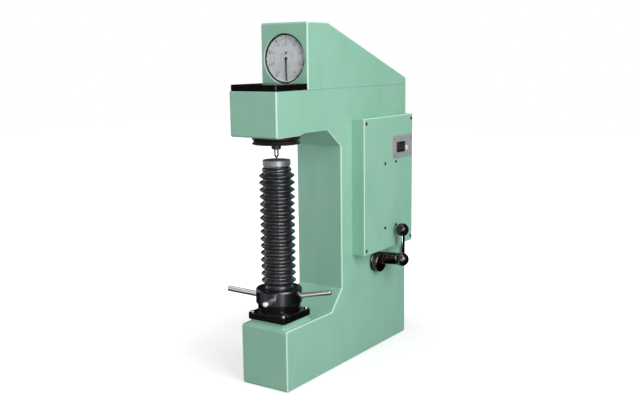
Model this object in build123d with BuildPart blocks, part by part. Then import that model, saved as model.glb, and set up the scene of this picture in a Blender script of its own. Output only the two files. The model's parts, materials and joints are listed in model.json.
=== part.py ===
from build123d import *
import os
from math import cos, radians, sin, tan

# Bench hardness tester: a hollow C-shaped casting with an elevating screw, a dead-weight lever and a dial.
# Frame: X = 0 is the mid-plane, X = Y = 0 the common axis of the elevating screw and the spindle, Z = 0 the
# underside of the base. +Y points to the back and +X to the side with the loading handle. Millimetres.

# --- clearances -------------------------------------------------------------------------------------------
fit_gap = 0.05  # radial running clearance of every shaft in its bore
seat_gap = 0.3  # free gap between pieces of different bodies that nearly touch
face_gap = 0.5  # gap between a turning face and a fixed one

# --- main casting -----------------------------------------------------------------------------------------
body_width = 154.0
base_front = 72.0  # screw axis to the front of the base
body_back = 578.0  # screw axis to the back
base_height = 170.0
arm_front = 98.0  # screw axis to the front of the arm
arm_depth = 119.0  # height of the arm, from its underside to its top
arm_relief = 6.0  # the underside steps up behind the spindle
arm_relief_start = 3.0
arm_relief_run = 26.0
casting_height = 803.0
throat_depth = 201.0
throat_foot_run = 53.0
throat_foot_rise = 58.0
throat_head_run = 66.0
throat_head_drop = 50.0
casting_wall = 12.0
casting_edge = 4.5
casting_corner = 6.0  # rounding where two narrow faces meet
casting_brow = 2.0  # rounding round the top
pad_height = 14.0  # machined pad under the screw seat
pad_half = 58.0
pad_slope = 7.5  # bevel round the foot of the pad
bench_hole_radius = 30.0
rear_door_width = 104.0
rear_door_bottom = 84.0
rear_door_drop = 99.0  # top of the rear opening below the top of the casting

# --- covers -----------------------------------------------------------------------------------------------
cap_thickness = 17.0
cap_inset = 2.5
cap_wall = 4.0
cap_edge = 2.5
cover_rise = 95.0  # top of the cover over the dial axis
cover_front = 42.0  # screw axis to the dial face of the cover
cover_flat = 98.0  # length of the level top
cover_tail = 20.0  # height of the cover at the back
cover_edge = 4.5
cover_brow = 6.5  # rounding along the top of the dial face
cover_reveal = 1.6  # groove over the casting
cover_wall = 3.0
rear_cover_thickness = 3.0
rear_cover_lap = 9.0
rear_cover_corner = 10.0
door_screw_end = 30.0  # rear cover corner screws from its top and bottom
door_screw_depth = 9.0

# --- side box ---------------------------------------------------------------------------------------------
box_front = 256.8
box_back = 544.7
box_bottom = 315.6
box_top = 713.7
box_depth = 42.0
box_wall = 2.5  # sheet of the cover pan
box_corner = 3.5
box_fold = 3.0  # rounding round the face of the pan
box_rail = 3.0  # sheet of the inner frame
box_lip = 22.0
box_screw_inset_y = 11.0
box_screw_inset_z = 14.0
bracket_front = 375.0
bracket_back = 440.0
bracket_bottom = 381.0
bracket_top = 575.0
bracket_margin = 12.0
bracket_thickness = 3.0
transformer_width = 62.0
transformer_height = 74.0
transformer_depth = 26.0
transformer_core = 16.0

# --- switch plate -----------------------------------------------------------------------------------------
plate_front = 417.5
plate_back = 537.5
plate_bottom = 586.0
plate_top = 652.5
plate_thickness = 2.0
plate_corner = 4.0
plate_screw_inset = 7.5
switch_centre_y = 464.0
switch_centre_z = 618.0
switch_width = 47.0
switch_height = 31.0
switch_rim = 4.0  # width of the rim round the rocker
switch_proud = 4.0
switch_depth = 24.0
switch_pocket = 11.0  # depth of the well round the rocker
rocker_tilt = 8.0
rocker_proud = 1.5
rocker_pivot = 5.0  # pivot behind the front of the rim
rocker_root = 3.0  # rocker behind its pivot
rocker_pin = 1.5
rocker_pin_reach = 1.2  # pin ends in the side walls
rocker_corner = 1.0
pilot_y = 500.5
pilot_z = 612.0
pilot_radius = 8.0
pilot_proud = 4.0
pilot_stem = 4.5

# --- screw seat, thrust bearing, handwheel and elevating screw ---------------------------------------------
seat_half = 62.0
seat_thickness = 18.0
seat_corner = 6.0
seat_edge = 2.0
seat_screw_inset = 9.5
seat_screw_depth = 26.0
collar_radius = 58.5
collar_height = 22.0
screw_radius = 22.0
screw_keyway_width = 8.0
screw_keyway_depth = 4.0
key_seat = 5.0
race_inner = 30.0
race_outer = 47.0
race_thickness = 3.0
ball_radius = 3.5
ball_count = 16
hub_radius = 63.4
hub_height = 42.0
hub_shoulder_run = 2.4
hub_shoulder_drop = 3.8
hub_foot_run = 3.0
hub_foot_rise = 3.5
nut_radius = 33.0
nut_height = 36.0
hub_throat_radius = 27.0
rod_count = 4
rod_radius = 7.5
rod_tip = 147.0  # screw axis to the end of a rod
rod_stem_radius = 6.0
rod_stem_length = 18.0
rod_seat = 60.0  # screw axis to the shoulder of a rod
rod_first = 22.5  # degrees from +X
rod_rise = 8.7  # degrees above level
rod_centre_hole = 1.6
rod_height = 20.4  # rod axis at its shoulder, above the foot of the hub
anvil_drop = 65.5  # anvil face below the arm, raised fully
anvil_radius = 37.5
anvil_thickness = 15.5
anvil_neck_radius = 30.0
anvil_neck = 1.5
anvil_stem_radius = 10.0
anvil_stem = 30.0
screw_head_radius = 34.0
screw_head = 3.0
screw_foot = 160.0  # height of the lower end of the screw

# --- bellows ----------------------------------------------------------------------------------------------
bellows_folds = 16
bellows_crest = 48.5
bellows_root = 36.0
bellows_bore = 32.0
bellows_top_crest = 40.0
bellows_top_fold = 13.0
bellows_foot_radius = 39.5  # ring at the lower end
bellows_foot_ring = 3.2
bellows_foot = 12.2  # plain part under the folds

# --- spindle and indenter ---------------------------------------------------------------------------------
test_gap = 3.0  # indenter tip over the anvil
indenter_radius = 6.5
indenter_length = 25.0
indenter_cone = 9.0
indenter_tip_radius = 1.0
chuck_radius = 13.0
chuck_height = 10.0
spindle_radius = 12.0
guide_radius = 22.0
guide_flange_radius = 28.0
guide_flange = 5.0
ring_radius = 65.5
ring_height = 23.0
ring_groove = 6.0
ring_bore = 17.0
ring_land = 1.0  # boss in the casting round the ring

# --- lever train ------------------------------------------------------------------------------------------
lever_pivot_y = -25.0
lever_pivot_rise = 15.0  # pivot over the lever's underside
lever_pin_radius = 6.0
lever_half = 11.0
lever_depth = 33.0
lever_rise = 34.0  # underside of the lever over the floor of the arm
lever_tail_depth = 24.0
lever_step = 2.0  # the tail's underside over the spindle's pad
lever_step_run = 6.0
weight_y = 500.0
lever_overhang = 16.0
lever_gap = 1.6  # free play between spindle head and lever
fulcrum_ear = 9.5
fulcrum_side_gap = 1.5
fulcrum_foot = 10.0
ear_margin = 9.0  # metal of the ears round a pin
gauge_pivot_y = -20.0
gauge_pivot_rise = 50.0  # pivot over the lever's underside
gauge_pin_radius = 3.0
gauge_lever_half = 4.0
gauge_lever_depth = 8.0
gauge_lever_hub = 7.0
stem_radius = 3.5
stem_hole = 6.0
weight_radius = 55.0
weight_thickness = 26.0
weight_count = 3
weight_drop = 270.0  # foot of the discs below the lever
hanger_radius = 5.0
hanger_foot_radius = 20.0
hanger_foot = 7.0
hanger_nut_radius = 10.0
hanger_nut = 9.0
hanger_play = 0.4
hanger_clear = 2.0
rod_guide_radius = 7.0
piston_radius = 25.0
piston_thickness = 12.0
piston_rise = 50.0  # piston over the dashpot's foot
dashpot_wall = 6.0
dashpot_rise = 207.5  # dashpot over the handle shaft
dashpot_height = 92.0
dashpot_cap = 6.0
shelf_thickness = 10.0
shelf_reach = 40.0

# --- loading handle ---------------------------------------------------------------------------------------
handle_y = 385.0
handle_z = 272.5
handle_shaft_radius = 14.0
handle_bush_radius = 24.0
handle_flange_radius = 30.5
handle_flange = 7.0
crank_boss_radius = 30.5
crank_boss = 18.0
crank_boss_edge = 5.0
crank_neck = 5.0  # length of the turned-down part at the foot of the boss
crank_neck_step = 2.0
crank_radius = 18.5
crank_offset = 47.5
crank_lift = 4.0  # ball over the shaft
crank_root_offset = 7.0
crank_root_lift = 11.0
crank_start = 16.0  # start of the crank's centre line, out from its foot
crank_heading = 60.0  # degrees from +X at the start
crank_bend = 24.0
crank_reach = 61.5  # crank foot to the centre of the ball
crank_ball_radius = 20.5
handle_rod_radius = 8.0
handle_rod_engagement = 12.0
knob_radius = 20.0
knob_height = 92.3  # knob centre over the ball
end_bush_radius = 30.0
end_bush = 15.0
cam_radius = 34.0
cam_half = 11.0
cam_hub = 7.0
cam_fall = 7.16  # fall of the cam over its working turn
cam_turn = 60.0  # working turn, degrees
cam_top = 90.0  # direction of the lift rod, degrees
cam_dwell = 30.0  # plain arc ahead of the fall, degrees
cam_overrun = 15.0  # turn beyond the working turn, degrees
cam_steps = 5

# --- dial -------------------------------------------------------------------------------------------------
dial_rise = 82.0  # dial axis over the casting
dial_opening = 66.0
dial_opening_bevel = 1.5
bezel_radius = 64.5
bezel_recess = 1.5  # bezel behind the face of the cover
bezel_lip = 62.3
bezel_lip_depth = 2.0
glass_radius = 63.4
glass_thickness = 2.0
scale_depth = 10.2  # front of the scale behind the face of the cover
scale_thickness = 1.2
scale_inner = 26.2
centre_plate_radius = 25.9
case_spigot = 62.0
case_spigot_length = 9.0
case_radius = 66.0
case_length = 41.0
case_wall = 4.0
case_shelf_gap = 1.1
pointer_radius = 58.0
pointer_tail = 4.5
pointer_half = 2.0  # half width of the blade at its hub
pointer_neck = 1.6
pointer_point = 0.5
pointer_hub = 3.8
pointer_thickness = 0.8
pointer_lift = 1.9  # pointer blade in front of the scale
arbor_radius = 1.5
counter_z = 15.0  # small pointer above the dial centre
counter_radius = 9.5
counter_tail = 4.0
counter_hub = 2.3
counter_half = 0.9
counter_tip = 0.4
counter_thickness = 0.5
counter_arbor = 0.9
counter_heading = 215.0
plunger_y = 78.0
plunger_radius = 3.0
plunger_stem_radius = 8.0
plunger_stem = 18.0
gauge_plate = 6.0
gauge_leg_width = 90.0
gauge_foot_depth = 40.0
gauge_foot_height = 8.0

# --- fasteners --------------------------------------------------------------------------------------------
panel_screw_head = 4.5  # head radius
panel_screw_rise = 2.0  # head height
panel_screw_shank = 1.8
seat_screw_head = 5.5
seat_screw_rise = 4.0
seat_screw_shank = 3.0
plate_screw_head = 3.2
plate_screw_rise = 1.6
plate_screw_shank = 1.3
door_screw_head = 4.5
door_screw_rise = 2.4
head_rounding = 0.6  # share of a head's height


def section(points, plane):
    """A closed straight-sided profile drawn on a plane."""
    with BuildSketch(plane) as drawn:
        with BuildLine():
            Polyline(*points, close=True)
        make_face()
    return drawn.sketch


def level(height):
    """The level plane at a height."""
    return Plane.XY.offset(height)


def looking_in(x):
    """A plane across X at x, drawn in Y and Z."""
    return Plane.YZ.offset(x)


def round_head_screw(head_radius, head_height, shank_radius, length):
    """One screw along +Z, with the underside of its domed head at the origin."""
    with BuildPart() as screw:
        with BuildSketch():
            Circle(head_radius)
        extrude(amount=head_height)
        fillet(screw.edges().group_by(Axis.Z)[-1], head_height * head_rounding)
        with BuildSketch():
            Circle(shank_radius)
        extrude(amount=-length)
    return screw.part


half = body_width / 2
arm_underside = casting_height - arm_depth
arm_floor = arm_underside + casting_wall
rear_door_top = casting_height - rear_door_drop
lever_under = arm_floor + lever_rise
lever_pivot_z = lever_under + lever_pivot_rise
gauge_pivot_z = lever_under + gauge_pivot_rise
dial_z = casting_height + dial_rise
cover_height = dial_z + cover_rise
anvil_top = arm_underside - anvil_drop
dial_axis = Axis((0, 0, dial_z), (0, 1, 0))

# === main casting =========================================================================================
frame_outline = [
    (-arm_front, arm_underside),
    (arm_relief_start, arm_underside),
    (arm_relief_start + arm_relief_run, arm_underside + arm_relief),
    (throat_depth - throat_head_run, arm_underside + arm_relief),
    (throat_depth, arm_underside + arm_relief - throat_head_drop),
    (throat_depth, base_height + throat_foot_rise),
    (throat_depth - throat_foot_run, base_height),
    (-base_front, base_height),
    (-base_front, 0),
    (body_back, 0),
    (body_back, casting_height),
    (-arm_front, casting_height),
]
seat_bottom = base_height + pad_height
seat_top = seat_bottom + seat_thickness
seat_screw_place = seat_half - seat_screw_inset
door_screw_inset = rear_cover_lap / 2 + 0.5
door_top = rear_door_top + rear_cover_lap
door_bottom = rear_door_bottom - rear_cover_lap
door_middle = (door_bottom + door_top) / 2
door_half = rear_door_width / 2 + rear_cover_lap
door_screw_places = [
    (x, z)
    for x in (-door_half + door_screw_inset, door_half - door_screw_inset)
    for z in (door_bottom + door_screw_end, door_middle, door_top - door_screw_end)
]

with BuildPart() as frame_casting:
    extrude(section(frame_outline, Plane.YZ), amount=half, both=True)
    cross_edges = frame_casting.edges().filter_by(Axis.X)
    lower_edges = [edge for edge in cross_edges if edge.center().Z < casting_height - 1]
    fillet([edge for edge in lower_edges if not 0 < edge.center().Y < body_back - 1], casting_corner)
    for side in (frame_casting.faces().sort_by(Axis.X)[0], frame_casting.faces().sort_by(Axis.X)[-1]):
        fillet([edge for edge in side.edges() if edge.center().Z < casting_height - 1], casting_edge)
    brow = [edge for edge in frame_casting.edges() if edge.center().Z > casting_height - 0.01]
    fillet(brow, casting_brow)
    with BuildSketch(Plane.YZ):
        with BuildLine():
            Polyline(*frame_outline, close=True)
        make_face()
        offset(amount=-casting_wall, kind=Kind.INTERSECTION, mode=Mode.REPLACE)
    extrude(amount=half - casting_wall, both=True, mode=Mode.SUBTRACT)
    with BuildSketch(level(casting_height)):
        with Locations((0, (body_back - arm_front) / 2)):
            Rectangle(body_width - 2 * casting_wall, body_back + arm_front - 2 * casting_wall)
    extrude(amount=-casting_wall, mode=Mode.SUBTRACT)
    with BuildSketch(Plane.XZ.offset(-body_back)):
        with Locations((0, (rear_door_bottom + rear_door_top) / 2)):
            RectangleRounded(rear_door_width, rear_door_top - rear_door_bottom, rear_cover_corner)
    extrude(amount=casting_wall, mode=Mode.SUBTRACT)
    with BuildSketch(level(arm_underside)):
        Circle(ring_radius + ring_land)
    extrude(amount=casting_wall)
    with BuildSketch(level(base_height)):
        RectangleRounded(2 * pad_half, 2 * pad_half, seat_corner)
    extrude(amount=pad_height)
    foot_edges = frame_casting.edges().filter_by_position(Axis.Z, base_height - 0.01, base_height + 0.01)
    foot_edges = foot_edges.filter_by_position(Axis.X, -pad_half - 1, pad_half + 1)
    chamfer(foot_edges.filter_by_position(Axis.Y, -pad_half - 1, pad_half + 1), pad_slope)
    with BuildSketch(level(0)):
        Circle(bench_hole_radius)
    extrude(amount=seat_bottom, mode=Mode.SUBTRACT)
    with BuildSketch(level(seat_bottom)):
        with GridLocations(2 * seat_screw_place, 2 * seat_screw_place, 2, 2):
            Circle(seat_screw_shank)
    extrude(amount=seat_thickness - seat_screw_depth, mode=Mode.SUBTRACT)
    with BuildSketch(level(arm_underside)):
        Circle(guide_radius)
    extrude(amount=2 * casting_wall, mode=Mode.SUBTRACT)
    with BuildSketch(level(arm_floor)):
        Circle(guide_flange_radius + face_gap)
    extrude(amount=2 * arm_relief, mode=Mode.SUBTRACT)
    with BuildSketch(looking_in(half)):
        with Locations((handle_y, handle_z)):
            Circle(handle_bush_radius)
    extrude(amount=-casting_wall, mode=Mode.SUBTRACT)
    with BuildSketch(Plane.XZ.offset(-body_back)):
        with Locations(*door_screw_places):
            Circle(plate_screw_shank)
    extrude(amount=door_screw_depth, mode=Mode.SUBTRACT)

# === covers ===============================================================================================
cap_width = body_width - 2 * cap_inset
cap_back = cover_front - seat_gap
cap_length = cap_back + arm_front - cap_inset
with BuildPart() as front_cap_plate:
    with BuildSketch(level(casting_height)):
        with Locations((0, cap_back - cap_length / 2)):
            Rectangle(cap_width, cap_length)
    extrude(amount=cap_thickness)
    fillet(front_cap_plate.edges().filter_by(Axis.Z).sort_by(Axis.Y)[:2], casting_edge)
    fillet(front_cap_plate.faces().sort_by(Axis.Z)[-1].edges(), cap_edge)
    with BuildSketch(level(casting_height)):
        with Locations((0, cap_back - cap_length / 2)):
            Rectangle(cap_width - 2 * cap_wall, cap_length - 2 * cap_wall)
    extrude(amount=cap_thickness - cap_wall, mode=Mode.SUBTRACT)

cover_outline = [
    (cover_front, casting_height),
    (cover_front, cover_height),
    (cover_front + cover_flat, cover_height),
    (body_back, casting_height + cover_tail),
    (body_back, casting_height),
]
with BuildPart() as upper_cover:
    extrude(section(cover_outline, Plane.YZ), amount=half, both=True)
    cross_edges = upper_cover.edges().filter_by(Axis.X)
    upper_edges = [edge for edge in cross_edges if edge.center().Z > casting_height + 1]
    fillet([edge for edge in upper_edges if not cover_front < edge.center().Y < body_back], cover_brow)
    for side in (upper_cover.faces().sort_by(Axis.X)[0], upper_cover.faces().sort_by(Axis.X)[-1]):
        fillet([edge for edge in side.edges() if edge.center().Z > casting_height + 1], cover_edge)
    chamfer([edge for edge in upper_cover.edges() if edge.center().Z < casting_height + 0.01], cover_reveal)
    with BuildSketch(Plane.YZ):
        with BuildLine():
            Polyline(*cover_outline, close=True)
        make_face()
        offset(amount=-cover_wall, kind=Kind.INTERSECTION, mode=Mode.REPLACE)
    extrude(amount=half - cover_wall, both=True, mode=Mode.SUBTRACT)
    with BuildSketch(level(casting_height)):
        with Locations((0, (cover_front + body_back) / 2)):
            Rectangle(body_width - 2 * cover_wall, body_back - cover_front - 2 * cover_wall)
    extrude(amount=cover_wall, mode=Mode.SUBTRACT)
    with BuildSketch(Plane.XZ.offset(-cover_front)):
        with Locations((0, dial_z)):
            Circle(dial_opening)
    extrude(amount=-cover_wall, mode=Mode.SUBTRACT)
    rim = upper_cover.edges().filter_by(GeomType.CIRCLE).filter_by(lambda edge: edge.radius == dial_opening)
    chamfer(rim.sort_by(Axis.Y)[0], dial_opening_bevel)

with BuildPart() as rear_cover:
    with BuildSketch(Plane.XZ.offset(-body_back)):
        with Locations((0, door_middle)):
            RectangleRounded(2 * door_half, door_top - door_bottom, rear_cover_corner + rear_cover_lap)
        with Locations(*door_screw_places):
            Circle(plate_screw_shank, mode=Mode.SUBTRACT)
    extrude(amount=-rear_cover_thickness)

# === side box =============================================================================================
box_width = box_back - box_front
box_height = box_top - box_bottom
box_centre = ((box_front + box_back) / 2, (box_bottom + box_top) / 2)
box_face = half + box_depth
panel_back = box_face - box_wall
box_screw_places = [
    (y, z)
    for y in (box_front + box_screw_inset_y, box_back - box_screw_inset_y)
    for z in (box_bottom + box_screw_inset_z, box_top - box_screw_inset_z)
]
bracket_screw_places = [(y, z) for y in (bracket_front, bracket_back) for z in (bracket_bottom, bracket_top)]
panel_screw_places = box_screw_places + bracket_screw_places
bracket_centre = ((bracket_front + bracket_back) / 2, (bracket_bottom + bracket_top) / 2)
bracket_width = bracket_back - bracket_front + 2 * bracket_margin
bracket_length = bracket_top - bracket_bottom + 2 * bracket_margin
switch_centre = (switch_centre_y, switch_centre_z)

inner_width = box_width - 2 * box_wall
inner_height = box_height - 2 * box_wall
with BuildPart() as side_box_frame:
    with BuildSketch(looking_in(half)):
        with Locations(box_centre):
            Rectangle(inner_width, inner_height)
            Rectangle(inner_width - 2 * box_rail, inner_height - 2 * box_rail, mode=Mode.SUBTRACT)
    extrude(amount=box_depth - box_wall)
    with BuildSketch(looking_in(panel_back)):
        with Locations(box_centre):
            Rectangle(inner_width, inner_height)
            Rectangle(box_width - 2 * box_lip, box_height - 2 * box_lip, mode=Mode.SUBTRACT)
    extrude(amount=-box_rail)
    with BuildSketch(looking_in(panel_back)):
        with Locations(*box_screw_places):
            Circle(panel_screw_shank)
    extrude(amount=-box_rail, mode=Mode.SUBTRACT)

with BuildPart() as side_box_panel:
    with BuildSketch(looking_in(half)):
        with Locations(box_centre):
            RectangleRounded(box_width, box_height, box_corner)
    extrude(amount=box_depth)
    fillet(side_box_panel.faces().sort_by(Axis.X)[-1].edges(), box_fold)
    with BuildSketch(looking_in(half)):
        with Locations(box_centre):
            Rectangle(inner_width, inner_height)
    extrude(amount=box_depth - box_wall, mode=Mode.SUBTRACT)
    with BuildSketch(looking_in(panel_back)):
        with Locations(*panel_screw_places):
            Circle(panel_screw_shank)
        with Locations(switch_centre):
            Rectangle(switch_width - switch_rim, switch_height - switch_rim)
    extrude(amount=box_wall, mode=Mode.SUBTRACT)

with BuildPart() as lamp_transformer:
    with BuildSketch(looking_in(panel_back)):
        with Locations(bracket_centre):
            RectangleRounded(bracket_width, bracket_length, box_corner)
        with Locations(*bracket_screw_places):
            Circle(panel_screw_shank, mode=Mode.SUBTRACT)
    extrude(amount=-bracket_thickness)
    with BuildSketch(looking_in(panel_back - bracket_thickness)):
        with Locations(bracket_centre):
            Rectangle(transformer_width, transformer_height)
    extrude(amount=-(transformer_depth + transformer_core) / 2)
    with BuildSketch(looking_in(panel_back - bracket_thickness)):
        with Locations(bracket_centre):
            RectangleRounded(transformer_width * 0.62, transformer_height * 0.7, box_corner)
    extrude(amount=-transformer_depth)

# --- switch plate -----------------------------------------------------------------------------------------
plate_centre = ((plate_front + plate_back) / 2, (plate_bottom + plate_top) / 2)
plate_width = plate_back - plate_front
plate_height = plate_top - plate_bottom
plate_face = box_face + plate_thickness
plate_screw_span = (plate_width - 2 * plate_screw_inset, plate_height - 2 * plate_screw_inset)
with BuildPart() as switch_plate:
    with BuildSketch(looking_in(box_face)):
        with Locations(plate_centre):
            RectangleRounded(plate_width, plate_height, plate_corner)
            with GridLocations(*plate_screw_span, 2, 2):
                Circle(plate_screw_shank, mode=Mode.SUBTRACT)
        with Locations(switch_centre):
            Rectangle(switch_width - switch_rim, switch_height - switch_rim, mode=Mode.SUBTRACT)
        with Locations((pilot_y, pilot_z)):
            Circle(pilot_stem, mode=Mode.SUBTRACT)
    extrude(amount=plate_thickness)

switch_front = plate_face + switch_proud
pocket_width = switch_width - 2 * switch_rim
pocket_height = switch_height - 2 * switch_rim
pivot_x = switch_front - rocker_pivot
rocker_half = pocket_width / 2 - face_gap
pin_half = pocket_width / 2 + rocker_pin_reach
with BuildPart() as switch_body:
    with BuildSketch(looking_in(plate_face)):
        with Locations(switch_centre):
            RectangleRounded(switch_width, switch_height, switch_rim / 2)
    extrude(amount=switch_proud)
    fillet(switch_body.faces().sort_by(Axis.X)[-1].edges(), switch_proud * 0.3)
    with BuildSketch(looking_in(plate_face)):
        with Locations(switch_centre):
            Rectangle(switch_width - switch_rim, switch_height - switch_rim)
    extrude(amount=-switch_depth)
    with BuildSketch(looking_in(switch_front)):
        with Locations(switch_centre):
            Rectangle(pocket_width, pocket_height)
    extrude(amount=-switch_pocket, mode=Mode.SUBTRACT)
    with BuildSketch(Plane.XZ.offset(-switch_centre_y)):
        with Locations((pivot_x, switch_centre_z)):
            Circle(rocker_pin + fit_gap)
    extrude(amount=pin_half + seat_gap, both=True, mode=Mode.SUBTRACT)

rocker_lean = (cos(radians(rocker_tilt)), 0, sin(radians(rocker_tilt)))
rocker_plane = Plane(origin=(pivot_x, *switch_centre), x_dir=(0, 1, 0), z_dir=rocker_lean)
with BuildPart() as rocker:
    with BuildSketch(rocker_plane.offset(-rocker_root)):
        RectangleRounded(2 * rocker_half, pocket_height - 4 * face_gap, rocker_corner)
    extrude(amount=rocker_root + rocker_pivot + rocker_proud)
    fillet(rocker.faces().sort_by(Axis.X)[-1].edges(), rocker_corner / 2)
    with BuildSketch(Plane.XZ.offset(-switch_centre_y)):
        with Locations((pivot_x, switch_centre_z)):
            Circle(rocker_pin)
    extrude(amount=pin_half, both=True)

with BuildPart() as pilot_lamp:
    with BuildSketch(looking_in(plate_face)):
        with Locations((pilot_y, pilot_z)):
            Circle(pilot_radius)
    extrude(amount=pilot_proud)
    fillet(pilot_lamp.faces().sort_by(Axis.X)[-1].edges(), pilot_proud * 0.5)
    with BuildSketch(looking_in(plate_face)):
        with Locations((pilot_y, pilot_z)):
            Circle(pilot_stem)
    extrude(amount=-plate_thickness)

# === screw seat and thrust bearing ========================================================================
collar_top = seat_top + collar_height
hub_foot = collar_top + face_gap
race_recess = race_thickness / 2
race_floor = hub_foot + race_recess - 2 * race_thickness - 2 * ball_radius - fit_gap
ball_level = race_floor + race_thickness + ball_radius
upper_race_foot = ball_level + ball_radius + fit_gap
spigot_foot = seat_bottom - pad_height
spigot_radius = bench_hole_radius - fit_gap
key_width = screw_keyway_width - 2 * fit_gap
key_inner = screw_radius - screw_keyway_depth + 2 * fit_gap
key_outer = screw_radius + key_seat
with BuildPart() as screw_seat_flange:
    with BuildSketch(level(seat_bottom)):
        RectangleRounded(2 * seat_half, 2 * seat_half, seat_corner)
    extrude(amount=seat_thickness)
    fillet(screw_seat_flange.faces().sort_by(Axis.Z)[-1].edges(), seat_edge)
    with BuildSketch(level(seat_top)):
        Circle(collar_radius)
    extrude(amount=collar_height)
    with BuildSketch(level(seat_bottom)):
        Circle(spigot_radius)
    extrude(amount=-pad_height)
    with BuildSketch(level(race_floor)):
        Circle(race_outer + fit_gap)
    extrude(amount=collar_height, mode=Mode.SUBTRACT)
    with BuildSketch(level(spigot_foot)):
        Circle(screw_radius + fit_gap)
    extrude(amount=collar_top - spigot_foot, mode=Mode.SUBTRACT)
    with BuildSketch(level(spigot_foot)):
        with Locations((0, key_outer / 2)):
            Rectangle(key_width, key_outer)
    extrude(amount=seat_top - spigot_foot, mode=Mode.SUBTRACT)
    with BuildSketch(level(seat_top)):
        with GridLocations(2 * seat_screw_place, 2 * seat_screw_place, 2, 2):
            Circle(seat_screw_shank)
    extrude(amount=-seat_thickness, mode=Mode.SUBTRACT)

with BuildPart() as guide_key:
    with BuildSketch(level(spigot_foot)):
        with Locations((0, (key_inner + key_outer) / 2)):
            Rectangle(key_width, key_outer - key_inner)
    extrude(amount=seat_top - spigot_foot)

with BuildPart() as thrust_lower_race:
    with BuildSketch(level(race_floor)):
        Circle(race_outer)
        Circle(race_inner, mode=Mode.SUBTRACT)
    extrude(amount=race_thickness)

with BuildPart() as thrust_balls:
    with Locations(level(ball_level)):
        with PolarLocations((race_inner + race_outer) / 2, ball_count):
            Sphere(ball_radius)

with BuildPart() as thrust_upper_race:
    with BuildSketch(level(upper_race_foot)):
        Circle(race_outer)
        Circle(race_inner, mode=Mode.SUBTRACT)
    extrude(amount=race_thickness)

# === handwheel ============================================================================================
hub_top = hub_foot + hub_height
nut_top = upper_race_foot + race_thickness + nut_height
rod_origin = hub_foot + rod_height - rod_seat * tan(radians(rod_rise))


def rod_plane(number):
    """The plane across one capstan rod, at the screw axis."""
    heading = rod_first + number * 360 / rod_count
    rise = radians(rod_rise)
    turn = radians(heading)
    outward = (cos(turn) * cos(rise), sin(turn) * cos(rise), sin(rise))
    return Plane(origin=(0, 0, rod_origin), x_dir=(-sin(turn), cos(turn), 0), z_dir=outward)


with BuildPart() as handwheel_hub:
    with BuildSketch(Plane.XZ):
        with BuildLine():
            Polyline(
                (hub_radius - hub_shoulder_run, hub_top),
                (hub_throat_radius, hub_top),
                (hub_throat_radius, nut_top),
                (nut_radius, nut_top),
                (nut_radius, hub_foot),
                (hub_radius - hub_foot_run, hub_foot),
                (hub_radius, hub_foot + hub_foot_rise),
                (hub_radius, hub_top - hub_shoulder_drop),
                close=True,
            )
        make_face()
    revolve(axis=Axis.Z)
    with BuildSketch(level(hub_foot)):
        Circle(race_outer + fit_gap)
    extrude(amount=upper_race_foot + race_thickness - hub_foot, mode=Mode.SUBTRACT)
    for number in range(rod_count):
        with BuildSketch(rod_plane(number).offset(rod_seat - rod_stem_length)):
            Circle(rod_stem_radius)
        extrude(amount=2 * rod_stem_length, mode=Mode.SUBTRACT)
        with BuildSketch(rod_plane(number).offset(rod_seat)):
            Circle(rod_radius)
        extrude(amount=rod_stem_length, mode=Mode.SUBTRACT)

with BuildPart() as lift_nut:
    with BuildSketch(level(upper_race_foot + race_thickness)):
        Circle(nut_radius)
        Circle(screw_radius + fit_gap, mode=Mode.SUBTRACT)
    extrude(amount=nut_height)

capstan_rods = []
for number in range(rod_count):
    with BuildPart() as capstan_rod:
        with BuildSketch(rod_plane(number).offset(rod_seat)):
            Circle(rod_radius)
        extrude(amount=rod_tip - rod_seat)
        fillet(capstan_rod.edges().sort_by(rod_plane(number).location.z_axis)[-1], rod_radius * 0.3)
        with BuildSketch(rod_plane(number).offset(rod_seat)):
            Circle(rod_stem_radius)
        extrude(amount=-rod_stem_length)
        with BuildSketch(rod_plane(number).offset(rod_tip)):
            Circle(rod_centre_hole)
        extrude(amount=-2 * rod_centre_hole, mode=Mode.SUBTRACT)
    capstan_rods.append(capstan_rod)

# === elevating screw ======================================================================================
anvil_foot = anvil_top - anvil_thickness
screw_top = anvil_foot - anvil_neck
with BuildPart() as elevating_screw:
    revolve(
        section(
            [
                (0, screw_foot),
                (screw_radius - 2, screw_foot),
                (screw_radius, screw_foot + 2),
                (screw_radius, screw_top - screw_head),
                (screw_head_radius, screw_top - screw_head),
                (screw_head_radius, screw_top),
                (anvil_stem_radius, screw_top),
                (anvil_stem_radius, screw_top - anvil_stem),
                (0, screw_top - anvil_stem),
            ],
            Plane.XZ,
        ),
        axis=Axis.Z,
    )
    with BuildSketch(level(screw_foot)):
        with Locations((0, screw_radius)):
            Rectangle(screw_keyway_width, 2 * screw_keyway_depth)
    extrude(amount=screw_top - screw_head - screw_foot - screw_radius, mode=Mode.SUBTRACT)

with BuildPart() as anvil:
    revolve(
        section(
            [
                (0, anvil_top),
                (anvil_radius - 1, anvil_top),
                (anvil_radius, anvil_top - 1),
                (anvil_radius, anvil_foot + 1),
                (anvil_radius - 1, anvil_foot),
                (anvil_neck_radius, anvil_foot),
                (anvil_neck_radius, screw_top),
                (anvil_stem_radius, screw_top),
                (anvil_stem_radius, screw_top - anvil_stem),
                (0, screw_top - anvil_stem),
            ],
            Plane.XZ,
        ),
        axis=Axis.Z,
    )

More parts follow.
